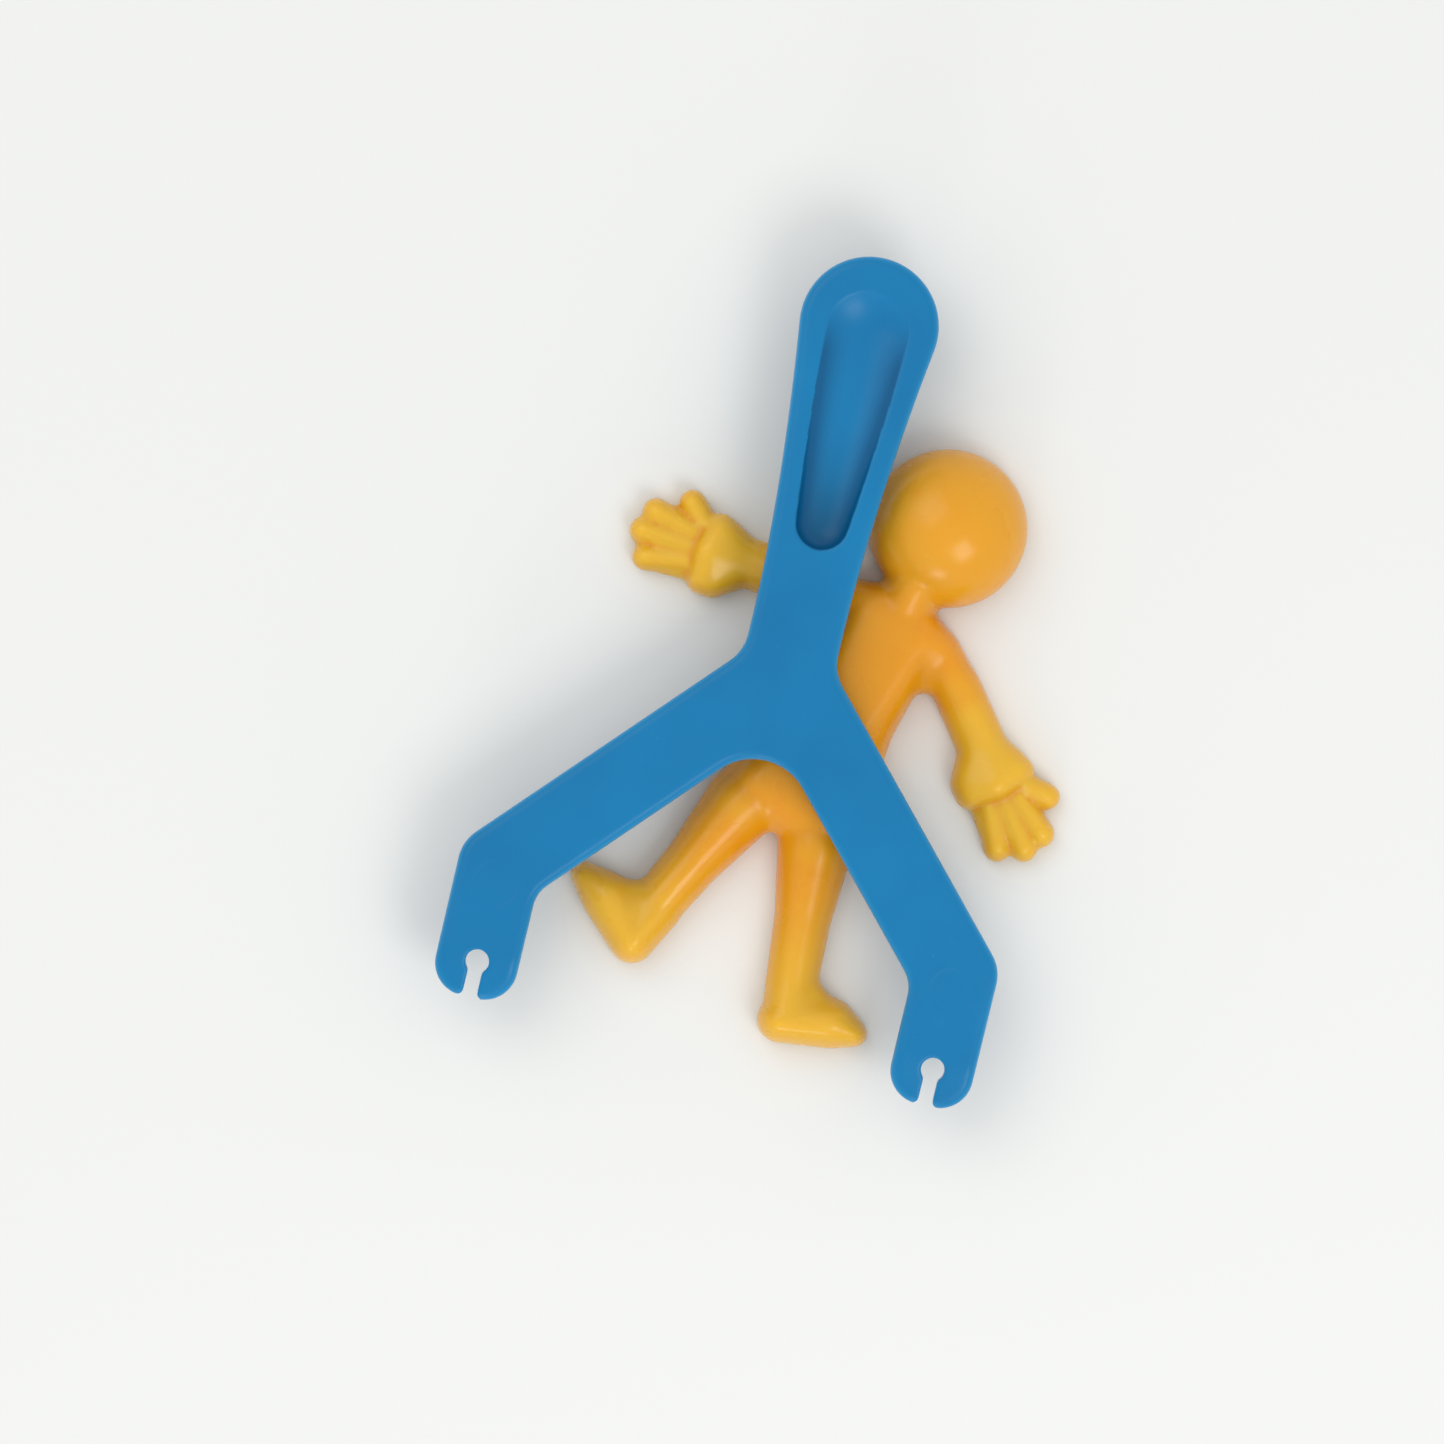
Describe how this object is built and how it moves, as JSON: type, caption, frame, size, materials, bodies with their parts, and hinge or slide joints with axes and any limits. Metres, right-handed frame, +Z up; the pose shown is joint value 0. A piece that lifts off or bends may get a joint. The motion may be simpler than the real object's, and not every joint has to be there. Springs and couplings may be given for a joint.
{
  "type": "sticky catapult toy",
  "caption": "Hand catapult with a Y fork, keyhole prongs and a thumb recess, lying on a soft stretchy sticky figure that it launches.",
  "frame": {"origin": "middle of the figure's flat back, on the surface that the toy lies on", "axes": "+Y along the catapult from its prongs to its handle end, +X to the right seen from above, +Z up out of the surface"},
  "size_m": [0.0865, 0.122, 0.0148],
  "materials": {
    "blue_plastic": "injection moulded, semi-gloss",
    "sticky_rubber": "soft translucent elastomer, glossy and tacky"
  },
  "bodies": {
    "torso": {"torso": "sticky_rubber"},
    "head": {"neck": "sticky_rubber", "head": "sticky_rubber"},
    "left_arm": {"left_upper_arm": "sticky_rubber", "left_forearm": "sticky_rubber"},
    "right_arm": {"right_upper_arm": "sticky_rubber", "right_forearm": "sticky_rubber"},
    "left_hand": {"left_hand": "sticky_rubber"},
    "right_hand": {"right_hand": "sticky_rubber"},
    "left_leg": {"left_leg": "sticky_rubber", "left_foot": "sticky_rubber"},
    "right_leg": {"right_leg": "sticky_rubber", "right_foot": "sticky_rubber"},
    "catapult": {"handle": "blue_plastic", "fork_hub": "blue_plastic", "left_fork_arm": "blue_plastic", "right_fork_arm": "blue_plastic", "left_prong": "blue_plastic", "right_prong": "blue_plastic"}
  },
  "joints": [
    {"name": "catapult_lift", "type": "slide", "parent": "torso", "child": "catapult", "axis": [0, 0, 1], "range_m": [0, 0.05]},
    {"name": "neck_bend", "type": "hinge", "parent": "torso", "child": "head", "pos_m": [0.0048, 0.01631, 0], "axis": [0, 0, 1], "range_deg": [-18, 8], "stiffness_Nm_per_rad": 0.003},
    {"name": "left_shoulder_bend", "type": "hinge", "parent": "torso", "child": "left_arm", "pos_m": [-0.00915, 0.01777, 0], "axis": [0, 0, 1], "range_deg": [-35, 45], "stiffness_Nm_per_rad": 0.002},
    {"name": "right_shoulder_bend", "type": "hinge", "parent": "torso", "child": "right_arm", "pos_m": [0.0156, 0.00795, 0], "axis": [0, 0, 1], "range_deg": [-30, 45], "stiffness_Nm_per_rad": 0.002},
    {"name": "left_arm_stretch", "type": "slide", "parent": "left_arm", "child": "left_hand", "axis": [-0.9954, 0.0958, 0], "range_m": [0, 0.05], "stiffness_N_per_m": 20, "deforming": ["left_forearm"]},
    {"name": "right_arm_stretch", "type": "slide", "parent": "right_arm", "child": "right_hand", "axis": [0.6032, -0.7976, 0], "range_m": [0, 0.05], "stiffness_N_per_m": 20, "deforming": ["right_forearm"]},
    {"name": "left_hip_bend", "type": "hinge", "parent": "torso", "child": "left_leg", "pos_m": [-0.01141, -0.01645, 0], "axis": [0, 0, 1], "range_deg": [-30, 10], "stiffness_Nm_per_rad": 0.004},
    {"name": "right_hip_bend", "type": "hinge", "parent": "torso", "child": "right_leg", "pos_m": [0.00068, -0.02001, 0], "axis": [0, 0, 1], "range_deg": [-10, 30], "stiffness_Nm_per_rad": 0.004}
  ]
}
